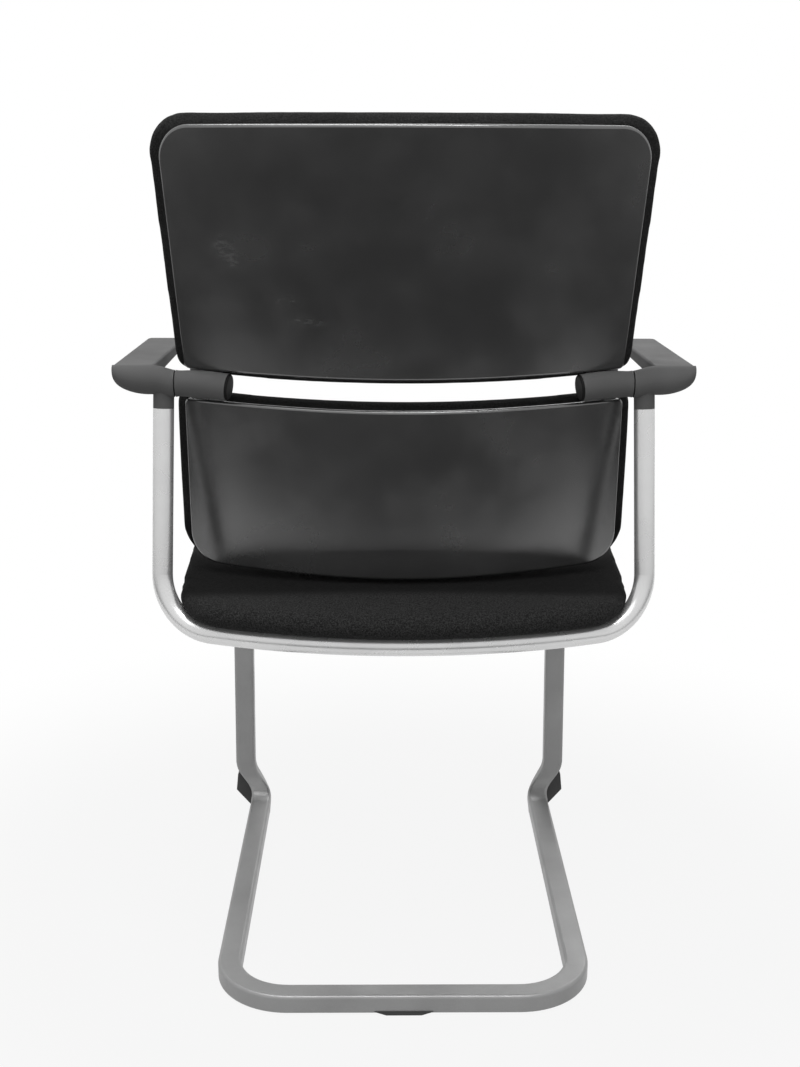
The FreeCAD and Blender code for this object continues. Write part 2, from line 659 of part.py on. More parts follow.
def lower_outline(inset):
    """Lower panel: both edges bowed down in the middle, large lower corners."""
    top = LOWER_TOP_Z - inset
    low = LOWER_BOTTOM_Z + inset
    half = LOWER_HALF - inset
    corners = [(-half, top), (0, top - SLOT_SMILE), (half, top),
               (half, low), (0, low - LOWER_SMILE), (-half, low)]
    top_r = SMILE_ROUND * math.hypot(half, SLOT_SMILE) * half / SLOT_SMILE
    low_r = LOWER_ROUND * math.hypot(half, LOWER_SMILE) * half / LOWER_SMILE
    corner_r = max(LOWER_CORNER_R - inset, SLOT_CORNER_R)
    return outline_at(corners, [SLOT_CORNER_R, top_r, SLOT_CORNER_R, corner_r, low_r, corner_r])


def soft_edge(panel, radius):
    """Round the rear rim of a panel."""
    broad = sorted(panel.Faces, key=lambda face: face.Area)[-2:]
    rear = max(broad, key=lambda face: face.CenterOfMass.y)
    return whole(panel.makeFillet(radius, rear.Edges))


def back_shell(upper):
    outline = upper_outline(0) if upper else lower_outline(0)
    return soft_edge(whole(layer(0, SHELL_T, upper, outline)), SHELL_EDGE_R)


def bracket_outline(grow):
    """Outline of the steel strap that joins both boards in front of a pivot housing."""
    low = PIVOT_Z - BRACKET_DOWN - grow
    high = PIVOT_Z + BRACKET_UP + grow
    a = BRACKET_X - BRACKET_W / 2 - grow
    b = BRACKET_X + BRACKET_W / 2 + grow
    corners = [(a, low), (b, low), (b, high), (a, high)]
    return outline_at(corners, [BRACKET_CORNER_R + grow] * len(corners))


def bracket_layer(near, far, grow):
    outline = bracket_outline(grow)
    return layer(near, far, True, outline).fuse(layer(near, far, False, outline))


def bracket_clearance():
    """Room that a bracket takes out of the housing behind it."""
    return bracket_layer(BOARD_FACE, BOARD_FACE + 6 * BRACKET_T, BRACKET_W)


def screw(seat, way, length):
    shank = Part.makeCylinder(SCREW_D / 2, length, seat, way)
    head = Part.makeCylinder(SCREW_HEAD_D / 2, SCREW_HEAD_H, seat, way * -1)
    return shank.fuse(head).removeSplitter()


def back_bracket():
    strap = bracket_layer(BOARD_FACE, BOARD_FACE + BRACKET_T, 0).removeSplitter()
    return strap.cut(housing_screws())


def back_board(upper):
    """Moulded board that carries a pad, notched for the brackets."""
    outline = upper_outline(BOARD_INSET) if upper else lower_outline(BOARD_INSET)
    board = layer(BOARD_FACE, BOARD_FACE + BOARD_T, upper, outline)
    notch = bracket_layer(0, BOARD_FACE + BOARD_T + CLEAR, CLEAR)
    return board.cut([notch, mirrored(notch)])


def pad_section(share, upper):
    """Side profile of a back pad at a share of its half width, from -1 to 1."""
    edge = abs(share)
    if upper:
        low = UPPER_BOTTOM_Z - SLOT_SMILE * (1 - edge ** 2) - PAD_SLOT_OVERLAP
        high = UPPER_TOP_Z + PAD_TOP_OVERLAP
        slope = UPPER_SLOPE
        half_low = UPPER_HALF_BOTTOM + PAD_OVERLAP
        half_high = UPPER_HALF_TOP + PAD_OVERLAP
        round_low, round_high = PAD_SLOT_ROUND, PAD_ROUND
    else:
        low = LOWER_BOTTOM_Z - LOWER_SMILE * (1 - edge ** 2) + PAD_LOW_INSET
        high = LOWER_TOP_Z - SLOT_SMILE * (1 - edge ** 2) + PAD_LOWER_TOP_OVERLAP
        slope = LOWER_SLOPE
        half_low = half_high = LOWER_HALF + PAD_OVERLAP
        round_low, round_high = PAD_ROUND, PAD_SLOT_ROUND
    past = max(0.0, edge * half_high - (half_high - PAD_ROUND)) / PAD_ROUND
    drawn = 1 - math.sqrt(max(0.0, 1 - past ** 2))
    low += round_low * drawn
    high -= round_high * drawn
    thick = PAD_SIDE_T + (PAD_MID_T - PAD_SIDE_T) * (1 - edge ** 2)
    thick *= 1 - PAD_THIN * drawn
    rear = PAD_FACE + PAD_TUCK * drawn
    roll = min(PAD_ROLL * thick, PAD_ROLL_MOST * (high - low))

    def at(z, depth):
        half = half_low + (half_high - half_low) * (z - low) / (high - low)
        x = share * half
        y = BACK_AXIS_Y + math.sqrt((BACK_R - depth) ** 2 - x ** 2) + slope * (z - PIVOT_Z)
        return V(x, y, z)

    bottom = at(low, rear + thick / 2)
    rear_low = at(low + roll, rear)
    rear_high = at(high - roll, rear)
    front_low = at(low + roll, rear + thick)
    front_high = at(high - roll, rear + thick)
    top = at(high, rear + thick / 2)
    crown = at((low + high) / 2, rear + thick + PAD_CROWN * thick)
    return Part.Wire([
        Part.LineSegment(rear_low, rear_high).toShape(),
        Part.Arc(rear_high, top, front_high).toShape(),
        Part.Arc(front_high, crown, front_low).toShape(),
        Part.Arc(front_low, bottom, rear_low).toShape()])


HALF_STATIONS = (0.3, 0.6, 0.8, 0.87, 0.92, 0.96, 0.985, 1.0)
PAD_STATIONS = tuple(-s for s in reversed(HALF_STATIONS)) + (0.0,) + HALF_STATIONS


def back_pad(upper):
    return Part.makeLoft([pad_section(share, upper) for share in PAD_STATIONS], True, False)


# Seat
def seat_plan(inset):
    """Plan of the seat pan, bowed at the rear, wider at the front."""
    rear = SEAT_REAR_Y - inset
    front = SEAT_FRONT_Y + inset
    corners = [V(0, rear, 0), V(SEAT_HALF_REAR - inset, rear - SEAT_BOW, 0),
               V(SEAT_HALF_FRONT - inset, front, 0), V(-SEAT_HALF_FRONT + inset, front, 0),
               V(-SEAT_HALF_REAR + inset, rear - SEAT_BOW, 0)]
    half = SEAT_HALF_REAR - inset
    bow_r = 0.42 * math.hypot(half, SEAT_BOW) * half / SEAT_BOW
    corner_r = SEAT_CORNER_R - inset / 2
    return rounded_polygon(corners, [bow_r, corner_r, corner_r, corner_r, corner_r])


def seat_pan():
    wire = seat_plan(SEAT_PAN_INSET)
    wire.translate(V(0, 0, SEAT_HINGE.z - SEAT_PAN_T))
    board = in_seat(prism(wire, V(0, 0, SEAT_PAN_T)))
    return board.cut(seat_screw_holes(SEAT_SCREW_D))


def seat_section(share):
    """Side profile of the cushion at a share of its half width."""
    edge = abs(share)
    past = max(0.0, edge - 1 + SEAT_SIDE) / SEAT_SIDE
    drawn = 1 - math.sqrt(max(0.0, 1 - past ** 2))
    rear = SEAT_REAR_Y - SEAT_BOW * edge ** 2 - SEAT_CORNER_R * SEAT_REAR_DRAW * drawn
    front = SEAT_FRONT_Y + SEAT_FRONT_BOW * edge ** 2 + SEAT_CORNER_R * drawn
    sink = 1 - SEAT_SINK * drawn
    base = SEAT_HINGE.z + 2 * CLEAR + SEAT_LIFT * SEAT_T_REAR * drawn
    rear_t = SEAT_T_REAR * sink
    front_t = SEAT_T_FRONT * sink
    crown = SEAT_CROWN * (1 - edge ** 2)

    def at(y, height):
        half = SEAT_HALF_REAR + SEAT_FLARE * (SEAT_REAR_Y - y) / SEAT_DEPTH
        return V(share * half, y, base + height)

    roll_r = SEAT_ROLL_REAR * rear_t
    roll_f = SEAT_ROLL_FRONT * front_t
    low_r = at(rear - roll_r * 0.45, 0)
    back = at(rear, rear_t * 0.4)
    high_r = at(rear - roll_r, rear_t)
    middle = at((rear + front) / 2, (rear_t + front_t) / 2 + crown)
    high_f = at(front + roll_f, front_t)
    nose = at(front, front_t * 0.35)
    low_f = at(front + roll_f * 0.3, 0)
    return Part.Wire([
        Part.LineSegment(low_f, low_r).toShape(),
        Part.Arc(low_r, back, high_r).toShape(),
        Part.Arc(high_r, middle, high_f).toShape(),
        Part.Arc(high_f, nose, low_f).toShape()])


def seat_cushion():
    return in_seat(Part.makeLoft([seat_section(share) for share in PAD_STATIONS], True, False))


def seat_screws():
    screws = []
    for x, y in seat_screw_spots():
        seat = SEAT_HINGE + V(x, y - SEAT_HINGE.y, -RAIL_DROP - FLAT_H / 2)
        length = RAIL_DROP + FLAT_H / 2 - SCREW_SUNK - 2 * CLEAR
        shank = Part.makeCylinder(SEAT_SCREW_D / 2, length, seat, Z_AXIS)
        head = Part.makeCylinder(SEAT_SCREW_HEAD_D / 2, SEAT_SCREW_HEAD_H, seat, Z_AXIS * -1)
        screws.append(shank.fuse(head).removeSplitter())
    return in_seat(Part.makeCompound(screws))


def front_cross_bar():
    half = LEG_X - FLAT_W / 2 - CLEAR
    start = SEAT_HINGE + V(-half, CROSS_BAR_Y - SEAT_HINGE.y, -RAIL_DROP)
    bar = prism(flat_profile(start, Y_AXIS, Z_AXIS), V(2 * half, 0, 0))
    return in_seat(bar)


# Glides
def rear_glide():
    """Saddle clipped round the rear bar's lower edges, its ends sloped."""
    y0 = REAR_Y - FLAT_W - REAR_GLIDE_LIP
    y1 = REAR_Y + REAR_GLIDE_LIP
    a = REAR_GLIDE_LEN / 2
    b = REAR_GLIDE_FLAT / 2
    points = [V(-b, y0, 0), V(b, y0, 0), V(a, y0, REAR_GLIDE_H), V(-a, y0, REAR_GLIDE_H)]
    block = prism(Part.makePolygon(points + points[:1]), V(0, y1 - y0, 0))
    bar = flat_profile(V(-a, REAR_Y - FLAT_W / 2, FLOOR_TUBE_Z), Y_AXIS, Z_AXIS, CLEAR / 3)
    return whole(block.cut(prism(bar, V(2 * a, 0, 0))))


def front_glide():
    """Wedge that fills the corner outside the foot bend, moulded to the tube."""
    front_y = FOOT_Y - GLIDE_AHEAD
    outline = [(RUNNER_X - GLIDE_IN, 0), (LEG_X - GLIDE_TIP, 0), (LEG_X + GLIDE_OUT, GLIDE_RISE),
               (LEG_X + GLIDE_OUT - GLIDE_DRAFT, GLIDE_H), (LEG_X - GLIDE_TOP_IN, GLIDE_H)]
    corners = [V(x, front_y, z) for x, z in outline]
    wire = rounded_polygon(corners, [GLIDE_EDGE_R] * len(corners))
    block = prism(wire, V(0, GLIDE_LEN, 0))
    leg_end = leg_line(FOOT_TANGENT + FOOT_LEAD)
    leg_profile = flat_profile(leg_end, X_AXIS, V(0, -LEG_DIR.z, LEG_DIR.y), CLEAR)
    leg = prism(leg_profile, LEG_DIR * -GLIDE_H)
    runner_end = V(RUNNER_X, FOOT_Y + FOOT_TANGENT, FLOOR_TUBE_Z)
    runner = prism(flat_profile(runner_end, X_AXIS, Z_AXIS, CLEAR), V(0, GLIDE_H, 0))
    return whole(block.cut([foot_bend(CLEAR), leg, runner]))


def arm_screws():
    one = arm_screw(0)
    return Part.makeCompound([one, mirrored(one)])


def all_housing_screws():
    screws = housing_screws()
    return Part.makeCompound(screws + [mirrored(s) for s in screws])


def main():
    os.makedirs("parts", exist_ok=True)
    export("arm_frame", arm_frame())
    export("base_frame", base_frame(arm_frame_tube(ARM_TUBE_D + 2 * CLEAR, COLLAR_Z)))
    export("front_cross_bar", front_cross_bar())
    export("seat_pan", seat_pan())
    export("seat_cushion", seat_cushion())
    export("seat_screws", seat_screws())
    export("rear_glide", rear_glide())
    export("arm_screws", arm_screws())
    export("upper_back_shell", back_shell(True))
    export("lower_back_shell", back_shell(False))
    export("upper_back_board", back_board(True))
    export("lower_back_board", back_board(False))
    export("upper_back_pad", back_pad(True))
    export("lower_back_pad", back_pad(False))
    export("housing_screws", all_housing_screws())
    pieces = {"front_glide": front_glide(), "armrest": armrest(), "pivot_bush": pivot_bush(),
              "torsion_sleeve": torsion_sleeve(), "pivot_pin": pivot_pin(), "pivot_cap": pivot_cap(),
              "pivot_housing": pivot_housing(), "back_bracket": back_bracket()}
    for name, shape in pieces.items():
        for side, sign in SIDES.items():
            export(name + "_" + side, on_side(shape, sign))


main()
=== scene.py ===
import math

import bpy
import numpy as np
from mathutils import Matrix, Vector
from mathutils.bvhtree import BVHTree

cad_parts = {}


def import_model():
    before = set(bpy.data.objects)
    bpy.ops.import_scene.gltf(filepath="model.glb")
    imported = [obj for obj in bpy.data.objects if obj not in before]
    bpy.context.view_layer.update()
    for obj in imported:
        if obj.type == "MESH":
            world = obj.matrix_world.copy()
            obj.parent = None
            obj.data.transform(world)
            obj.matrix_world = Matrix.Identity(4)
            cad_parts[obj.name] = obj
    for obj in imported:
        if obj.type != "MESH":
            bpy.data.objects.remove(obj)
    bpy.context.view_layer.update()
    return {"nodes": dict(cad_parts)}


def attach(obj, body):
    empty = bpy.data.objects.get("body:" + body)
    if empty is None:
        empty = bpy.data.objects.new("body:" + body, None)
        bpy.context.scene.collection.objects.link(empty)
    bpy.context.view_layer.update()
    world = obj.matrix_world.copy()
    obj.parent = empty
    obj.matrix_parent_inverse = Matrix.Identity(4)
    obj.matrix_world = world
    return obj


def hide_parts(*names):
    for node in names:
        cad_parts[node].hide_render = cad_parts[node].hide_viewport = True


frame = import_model()

# The photograph's frame and camera, in pixels, metres and degrees
PHOTO_W, PHOTO_H = 800, 1067
FOCAL_PX = 1450
SENSOR_MM = 36
CAMERA_AT = Vector((0.0197, 1.5781, 0.8484))
CAMERA_YAW, CAMERA_PITCH, CAMERA_ROLL = -0.619, 14.54, 0.175

# Cushions: voxel of the remesh, cloth values, and limits in metres
VOXEL = 0.0045
CLOTH_STEPS = 14
CLOTH_QUALITY = 6
CLOTH_MASS = 0.3
CLOTH_STIFFNESS = 15
CLOTH_BENDING = 0.5
PRESSURE = 4.0
SWELL_CAP = 0.004      # the most that a point may move in the simulation
STUFFED = 0.0016       # how far a pad stands out past its solid where it is free
REST_GAP = 0.0003      # how far it may stand out where it lies on something
CROWN_GAP = 0.0032     # and where it is free
EVEN_ROUNDS = 36       # smoothing of the way that each point has moved
RIPPLE = 0.1           # share of the unsmoothed way that stays
LYING = 0.6            # a point lies on something if its normal points there by more than this
UPPER_SIDE, LOWER_SIDE = 0.003, 0.0035    # how much fuller the back pads are at their sides

# Where painted light and painted shade lie on the seat's cloth, in metres on the chair
BACK_Z, SEAT_Z = 0.5, 0.45                # above the first it is the back's, below the second the seat's
ROLL_FROM, ROLL_FULL = 0.15, 0.182        # the open rear roll's paler band along Y: painted light on its lit top, and fading
SHADE_STRIP_FRONT, SHADE_STRIP_FRONT_FULL = 0.03, 0.07     # the strip under the back along Y, made deep black as painted shade
SHADE_STRIP_REAR_FULL, SHADE_STRIP_REAR = 0.152, 0.174

# Dry scuffs on the upper shell: place, reach and strength
SCUFFS = [
    ((0.175, 0.185, 0.765), (0.022, 0.05, 0.02), 0.55),
    ((0.166, 0.185, 0.752), (0.014, 0.05, 0.01), 0.6),
    ((0.097, 0.185, 0.694), (0.035, 0.05, 0.008), 0.45),
    ((0.118, 0.185, 0.714), (0.04, 0.05, 0.012), 0.22),
    ((0.02, 0.2, 0.8), (0.2, 0.08, 0.06), 0.05),
]
SCUFF_GREY = 0.16


# Nodes
def ranged(tree, out, low, high, start, end):
    """Value that goes smoothly from start to end while out goes from low to high."""
    node = tree.nodes.new("ShaderNodeMapRange")
    node.interpolation_type = "SMOOTHSTEP"
    tree.links.new(out, node.inputs["Value"])
    for socket, value in zip(("From Min", "From Max", "To Min", "To Max"), (low, high, start, end)):
        node.inputs[socket].default_value = value
    return node.outputs["Result"]


def either(tree, first, second):
    """The larger of two values, for ray flags."""
    node = tree.nodes.new("ShaderNodeMath")
    node.operation = "MAXIMUM"
    tree.links.new(first, node.inputs[0])
    tree.links.new(second, node.inputs[1])
    return node.outputs["Value"]


def blended(tree, share, first, second):
    """Shader between two."""
    node = tree.nodes.new("ShaderNodeMixShader")
    tree.links.new(share, node.inputs["Fac"])
    tree.links.new(first, node.inputs[1])
    tree.links.new(second, node.inputs[2])
    return node.outputs[0]


# Materials
class Shader:
    """A procedural material with short ways to add its nodes."""

    def __init__(self, name, colour, roughness, metallic=0.0, specular=0.5):
        self.material = bpy.data.materials.new(name)
        self.material.use_nodes = True
        self.tree = self.material.node_tree
        self.bsdf = self.tree.nodes["Principled BSDF"]
        self.set("Base Color", (*colour, 1))
        self.set("Roughness", roughness)
        self.set("Metallic", metallic)
        self.set("Specular IOR Level", specular)
        self.place = self.add("ShaderNodeTexCoord").outputs["Object"]

    def add(self, kind, **settings):
        node = self.tree.nodes.new(kind)
        for key, value in settings.items():
            setattr(node, key, value)
        return node

    def set(self, socket, value):
        self.bsdf.inputs[socket].default_value = value

    def link(self, out, into):
        self.tree.links.new(out, into)

    def feed(self, socket, out):
        self.link(out, self.bsdf.inputs[socket])

    def noise(self, scale, detail=3.0, rough=0.55, stretch=None):
        node = self.add("ShaderNodeTexNoise")
        place = self.place
        if stretch:
            mapping = self.add("ShaderNodeMapping")
            mapping.inputs["Scale"].default_value = stretch
            self.link(place, mapping.inputs["Vector"])
            place = mapping.outputs["Vector"]
        self.link(place, node.inputs["Vector"])
        node.inputs["Scale"].default_value = scale
        node.inputs["Detail"].default_value = detail
        node.inputs["Roughness"].default_value = rough
        return node.outputs["Fac"]

    def cells(self, scale):
        node = self.add("ShaderNodeTexVoronoi")
        self.link(self.place, node.inputs["Vector"])
        node.inputs["Scale"].default_value = scale
        return node.outputs["Distance"]

    def ramp(self, out, low, high, start=0.0, end=1.0):
        return ranged(self.tree, out, low, high, start, end)

    def math(self, operation, first, second):
        node = self.add("ShaderNodeMath", operation=operation)
        for socket, value in zip(node.inputs, (first, second)):
            if isinstance(value, (int, float)):
                socket.default_value = value
            else:
                self.link(value, socket)
        return node.outputs["Value"]

    def near(self, point, size):
        """1 at a point on the object, falling to 0 at the given size around it."""
        mapping = self.add("ShaderNodeMapping", vector_type="TEXTURE")
        mapping.inputs["Location"].default_value = point
        mapping.inputs["Scale"].default_value = size
        self.link(self.place, mapping.inputs["Vector"])
        length = self.add("ShaderNodeVectorMath", operation="LENGTH")
        self.link(mapping.outputs["Vector"], length.inputs[0])
        return self.ramp(length.outputs["Value"], 1.0, 0.0)

    def mix(self, share, first, second):
        """Colour between two, each given as a colour or as an output."""
        node = self.add("ShaderNodeMix", data_type="RGBA")
        self.link(share, node.inputs["Factor"])
        for socket, colour in zip((node.inputs[6], node.inputs[7]), (first, second)):
            if isinstance(colour, tuple):
                socket.default_value = (*colour, 1)
            else:
                self.link(colour, socket)
        return node.outputs[2]

    def bump(self, height, strength, distance, under=None):
        node = self.add("ShaderNodeBump")
        node.inputs["Strength"].default_value = strength
        node.inputs["Distance"].default_value = distance
        self.link(height, node.inputs["Height"])
        if under is not None:
            self.link(under, node.inputs["Normal"])
        return node.outputs["Normal"]

    def edges(self, low, high):
        """Worn share of convex edges."""
        geometry = self.add("ShaderNodeNewGeometry")
        return self.ramp(geometry.outputs["Pointiness"], low, high)


def grey(level):
    return (level, level, level)


def moulded(name, level, roughness, specular, grain=1400, worn=0.0):
    """Moulded plastic: fine grain, cloudy handling marks, paler worn edges."""
    shader = Shader(name, grey(level), roughness, specular=specular)
    cloud = shader.ramp(shader.noise(7, 5, 0.6), 0.35, 0.7)
    colour = shader.mix(cloud, grey(level * 0.9), grey(level * 1.12))
    if worn:
        marks = shader.math("MULTIPLY", shader.edges(0.52, 0.62), shader.noise(60, 4))
        colour = shader.mix(marks, colour, grey(level + worn))
    shader.feed("Base Color", colour)
    rough = shader.ramp(shader.noise(22, 4), 0.3, 0.7, roughness - 0.05, roughness + 0.08)
    shader.feed("Roughness", rough)
    shader.feed("Normal", shader.bump(shader.noise(grain, 2), 0.12, 0.0004))
    return shader.material


def shell_black():
    """Satin black back shells: fine grain, dust haze and a few dry scuffs on the upper one."""
    level = 0.034
    shader = Shader("shell_black", grey(level), 0.24, specular=1.0)
    shader.set("IOR", 1.68)
    haze = shader.ramp(shader.noise(5.5, 6, 0.62, (1, 1, 1.6)), 0.42, 0.72)
    colour = shader.mix(haze, grey(level * 0.92), grey(level * 1.25))
    streak = shader.noise(95, 4, 0.6, (1, 1, 3.2))
    for point, size, strength in SCUFFS:
        marks = shader.ramp(streak, 0.46, 0.66, 0, strength)
        spot = shader.math("MULTIPLY", shader.near(point, size), marks)
        colour = shader.mix(spot, colour, grey(SCUFF_GREY))
    shader.feed("Base Color", colour)
    shader.feed("Roughness", shader.ramp(shader.noise(14, 5), 0.3, 0.72, 0.2, 0.28))
    fine = shader.bump(shader.noise(1500, 2), 0.1, 0.0003)
    shader.feed("Normal", shader.bump(shader.noise(9, 2), 0.08, 0.004, fine))
    return shader.material


def fabric_black():
    """Black wool-like cloth: threads and fuzz, paler on the seat's open rear roll as painted light and
    fading, and deep black on the strip under the back as painted shade."""
    level = 0.03
    shader = Shader("fabric_black", grey(level), 0.92, specular=0.08)
    shader.set("Sheen Weight", 0.03)
    shader.set("Sheen Roughness", 0.45)
    shader.set("Sheen Tint", (0.55, 0.55, 0.55, 1))
    threads = shader.cells(620)
    fuzz = shader.noise(700, 3, 0.75)
    wear = shader.ramp(shader.noise(14, 5, 0.6), 0.36, 0.7)
    colour = shader.mix(wear, grey(level * 0.8), grey(level * 1.25))
    colour = shader.mix(shader.ramp(threads, 0.55, 0.1, 0, 0.5), colour, grey(level * 1.8))
    split = shader.add("ShaderNodeSeparateXYZ")
    shader.link(shader.place, split.inputs[0])
    seat = shader.ramp(split.outputs["Z"], BACK_Z, SEAT_Z)
    # painted light: the seat's open rear roll is made paler, which also stands for fading
    roll = shader.ramp(split.outputs["Y"], ROLL_FROM, ROLL_FULL)
    colour = shader.mix(shader.math("MULTIPLY", roll, seat), colour, grey(level * 1.6))
    # painted shade: the seat's strip under the back is made deep black
    front = shader.ramp(split.outputs["Y"], SHADE_STRIP_FRONT, SHADE_STRIP_FRONT_FULL)
    rear = shader.ramp(split.outputs["Y"], SHADE_STRIP_REAR, SHADE_STRIP_REAR_FULL)
    painted_shade_strip = shader.math("MULTIPLY", shader.math("MULTIPLY", front, rear), seat)
    colour = shader.mix(painted_shade_strip, colour, grey(level * 0.14))
    shader.feed("Base Color", shader.mix(shader.ramp(fuzz, 0.36, 0.66), grey(level * 0.35), colour))
    woven = shader.bump(threads, 0.6, 0.001)
    shader.feed("Normal", shader.bump(fuzz, 0.6, 0.001, woven))
    return shader.material


def silver_tube():
    """Smooth satin silver lacquer of the round tube."""
    shader = Shader("silver_tube", grey(0.77), 0.3, metallic=0.66)
    cloud = shader.ramp(shader.noise(16, 4), 0.3, 0.7)
    shader.feed("Base Color", shader.mix(cloud, grey(0.75), grey(0.8)))
    shader.feed("Roughness", shader.ramp(shader.noise(24, 4), 0.3, 0.7, 0.24, 0.3))
    shader.feed("Normal", shader.bump(shader.noise(1800, 2), 0.03, 0.0002))
    return shader.material


def grey_paint():
    """Aluminium-grey powder coat of the base: orange peel, flakes, darker scuff streaks."""
    level = 0.33
    shader = Shader("grey_paint", grey(level), 0.4, metallic=0.45)
    flakes = shader.noise(1500, 2)
    cloud = shader.ramp(shader.noise(11, 4), 0.3, 0.7)
    colour = shader.mix(cloud, grey(level * 0.93), grey(level * 1.06))
    colour = shader.mix(shader.ramp(flakes, 0.58, 0.74, 0, 0.3), colour, grey(level * 1.6))
    scratches = shader.ramp(shader.noise(130, 5, 0.65, (1, 4, 1)), 0.64, 0.72, 0, 0.35)
    shader.feed("Base Color", shader.mix(scratches, colour, grey(level * 0.72)))
    shader.feed("Roughness", shader.ramp(shader.noise(26, 4), 0.3, 0.7, 0.34, 0.46))
    peel = shader.bump(shader.noise(320, 2), 0.05, 0.0006)
    shader.feed("Normal", shader.bump(flakes, 0.05, 0.0003, peel))
    return shader.material


def plain_metal():
    """Zinc-plated steel of pins, brackets and screws."""
    shader = Shader("zinc_steel", grey(0.5), 0.32, metallic=1.0)
    cloud = shader.ramp(shader.noise(140, 5), 0.3, 0.7)
    shader.feed("Base Color", shader.mix(cloud, grey(0.42), grey(0.58)))
    shader.feed("Roughness", shader.ramp(shader.noise(60, 4), 0.3, 0.7, 0.25, 0.42))
    return shader.material


FINISHES = {
    "base_paint": grey_paint(),
    "tube_steel": silver_tube(),
    "arm_plastic": moulded("arm_grey", 0.125, 0.72, 0.15, worn=0.05),
    "shell_plastic": shell_black(),
    "cushion_fabric": fabric_black(),
    "glide_plastic": moulded("glide_black", 0.02, 0.5, 0.5, worn=0.05),
    "cap_plastic": moulded("cap_dark", 0.012, 0.6, 0.12),
    "board_plastic": moulded("board_black", 0.03, 0.6, 0.4, grain=700),
    "bare_steel": plain_metal(),
    "bush_nylon": moulded("bush_black", 0.02, 0.5, 0.4),
    "sleeve_rubber": moulded("sleeve_black", 0.02, 0.75, 0.3),
}
NODE_SLOTS = {
    "base_frame": "base_paint", "front_cross_bar": "base_paint", "arm_frame": "tube_steel",
    "armrest": "arm_plastic", "pivot_housing": "arm_plastic", "back_shell": "shell_plastic",
    "glide": "glide_plastic", "pivot_cap": "cap_plastic", "back_board": "board_plastic",
    "seat_pan": "board_plastic", "pivot_pin": "bare_steel", "back_bracket": "bare_steel",
    "screws": "bare_steel", "pivot_bush": "bush_nylon", "torsion_sleeve": "sleeve_rubber",
    "pad": "cushion_fabric", "seat_cushion": "cushion_fabric",
}


def finish_nodes():
    for name, node in frame["nodes"].items():
        slot = next(slot for part, slot in NODE_SLOTS.items() if part in name)
        node.data.materials.clear()
        node.data.materials.append(FINISHES[slot])
        for polygon in node.data.polygons:
            polygon.material_index = 0


# Soft pieces
def points_of(mesh):
    flat = np.empty(len(mesh.vertices) * 3, np.float32)
    mesh.vertices.foreach_get("co", flat)
    return flat.reshape(-1, 3).astype(float)


def normals_of(mesh):
    flat = np.empty(len(mesh.vertices) * 3, np.float32)
    mesh.vertices.foreach_get("normal", flat)
    return flat.reshape(-1, 3).astype(float)


def set_points(mesh, points):
    mesh.vertices.foreach_set("co", points.astype(np.float32).ravel())
    mesh.update()


def applied(piece):
    """Applies the piece's modifiers to its mesh."""
    graph = bpy.context.evaluated_depsgraph_get()
    mesh = bpy.data.meshes.new_from_object(piece.evaluated_get(graph))
    piece.modifiers.clear()
    piece.data = mesh


def tree_of(mesh):
    return BVHTree.FromPolygons([v.co for v in mesh.vertices], [p.vertices for p in mesh.polygons])


def on_surface(points, tree):
    """The points of a solid's surface that are nearest to the given ones."""
    return np.array([tree.find_nearest(Vector(point))[0] for point in points])


def evened(mesh, rise):
    """A value at each point, averaged along the mesh's edges again and again."""
    ends = np.empty(len(mesh.edges) * 2, np.int32)
    mesh.edges.foreach_get("vertices", ends)
    first, second = ends.reshape(-1, 2).T
    count = len(mesh.vertices)
    degree = np.bincount(ends, minlength=count)
    for _ in range(EVEN_ROUNDS):
        around = np.bincount(first, rise[second], count) + np.bincount(second, rise[first], count)
        rise = (rise + around / degree) / 2
    return rise


def held_in(points, tree, room):
    """Points brought back to within their own room of the CAD solid's surface."""
    kept = points.copy()
    for i, point in enumerate(points):
        at, normal, _, _ = tree.find_nearest(Vector(point))
        out = (Vector(point) - at).dot(normal)
        if out > room[i]:
            kept[i] = np.array(at + normal * room[i])
    return kept


def swell(piece, pinned):
    """Blows the piece up as cloth with its pinned points held, and caps each point's way."""
    start = points_of(piece.data)
    group = piece.vertex_groups.new(name="pin")
    for i in np.nonzero(pinned)[0]:
        group.add([int(i)], 1.0, "REPLACE")
    cloth = piece.modifiers.new("cloth", "CLOTH")
    settings = cloth.settings
    settings.quality = CLOTH_QUALITY
    settings.mass = CLOTH_MASS
    settings.tension_stiffness = CLOTH_STIFFNESS
    settings.compression_stiffness = CLOTH_STIFFNESS
    settings.bending_stiffness = CLOTH_BENDING
    settings.use_pressure = True
    settings.uniform_pressure_force = PRESSURE
    settings.vertex_group_mass = group.name
    settings.effector_weights.gravity = 0
    cloth.point_cache.frame_end = CLOTH_STEPS
    for step in range(1, CLOTH_STEPS + 1):
        bpy.context.scene.frame_set(step)
    applied(piece)
    bpy.context.scene.frame_set(1)
    way = points_of(piece.data) - start
    length = np.linalg.norm(way, axis=1, keepdims=True)
    way *= np.minimum(1.0, SWELL_CAP / np.maximum(length, 1e-9))
    set_points(piece.data, start + way)
    piece.vertex_groups.clear()


